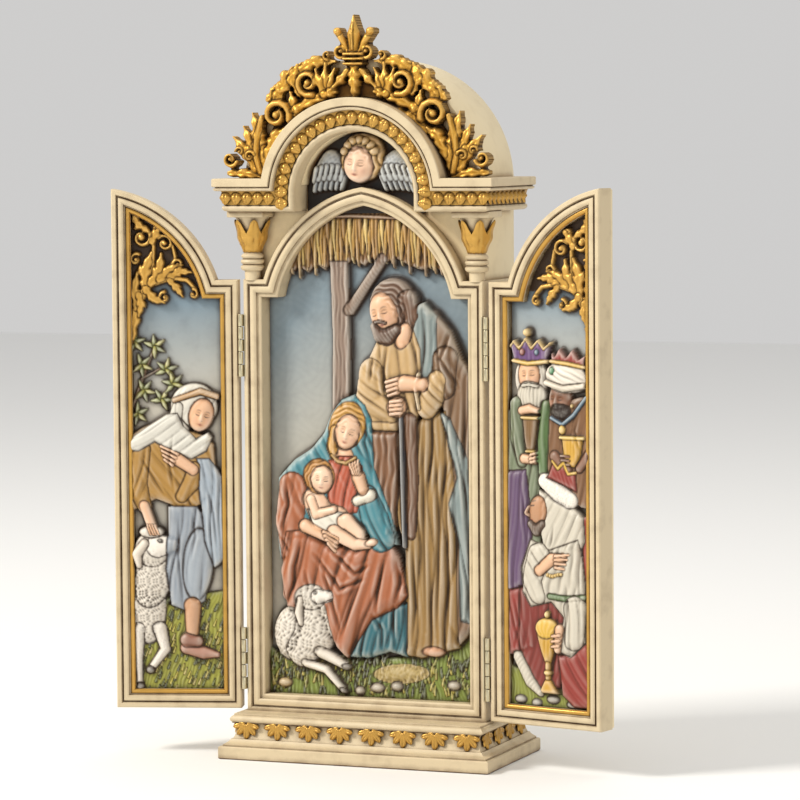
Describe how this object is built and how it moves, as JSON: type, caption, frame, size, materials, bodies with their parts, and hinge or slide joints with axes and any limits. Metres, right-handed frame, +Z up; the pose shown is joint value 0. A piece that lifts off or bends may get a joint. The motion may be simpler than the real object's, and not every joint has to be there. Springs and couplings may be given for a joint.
{
  "type": "triptych altarpiece",
  "caption": "Table-top cast resin triptych: a pointed-arch nativity relief under a round cornice and gilded crest, with hinged relief wings.",
  "frame": {"origin": "centre of the plinth's underside, on the middle line of the shrine", "axes": "+Z up, -Y towards the viewer of the relief, +X to the viewer's right"},
  "size_m": [0.225, 0.0665, 0.3174],
  "materials": {
    "painted_resin": "cast resin, cream paint with a brown wash, gilding and hand-painted relief",
    "gilding": "gold paint over carving, darkened in the hollows",
    "hinge_brass": "small bright brass butt hinges"
  },
  "bodies": {
    "shrine": {"shrine": "painted_resin", "left_lower_shrine_leaf": "hinge_brass", "left_lower_pin": "hinge_brass", "left_upper_shrine_leaf": "hinge_brass", "left_upper_pin": "hinge_brass", "right_lower_shrine_leaf": "hinge_brass", "right_lower_pin": "hinge_brass", "right_upper_shrine_leaf": "hinge_brass", "right_upper_pin": "hinge_brass"},
    "left_wing": {"left_wing": "painted_resin", "left_lower_wing_leaf": "hinge_brass", "left_upper_wing_leaf": "hinge_brass"},
    "right_wing": {"right_wing": "painted_resin", "right_lower_wing_leaf": "hinge_brass", "right_upper_wing_leaf": "hinge_brass"}
  },
  "joints": [
    {"name": "left_wing_hinge", "type": "hinge", "parent": "shrine", "child": "left_wing", "pos_m": [-0.0559, -0.0253, 0], "axis": [0, 0, 1], "range_deg": [-16.5, 163]},
    {"name": "right_wing_hinge", "type": "hinge", "parent": "shrine", "child": "right_wing", "pos_m": [0.0559, -0.0253, 0], "axis": [0, 0, -1], "range_deg": [-13.3, 166.2]}
  ]
}
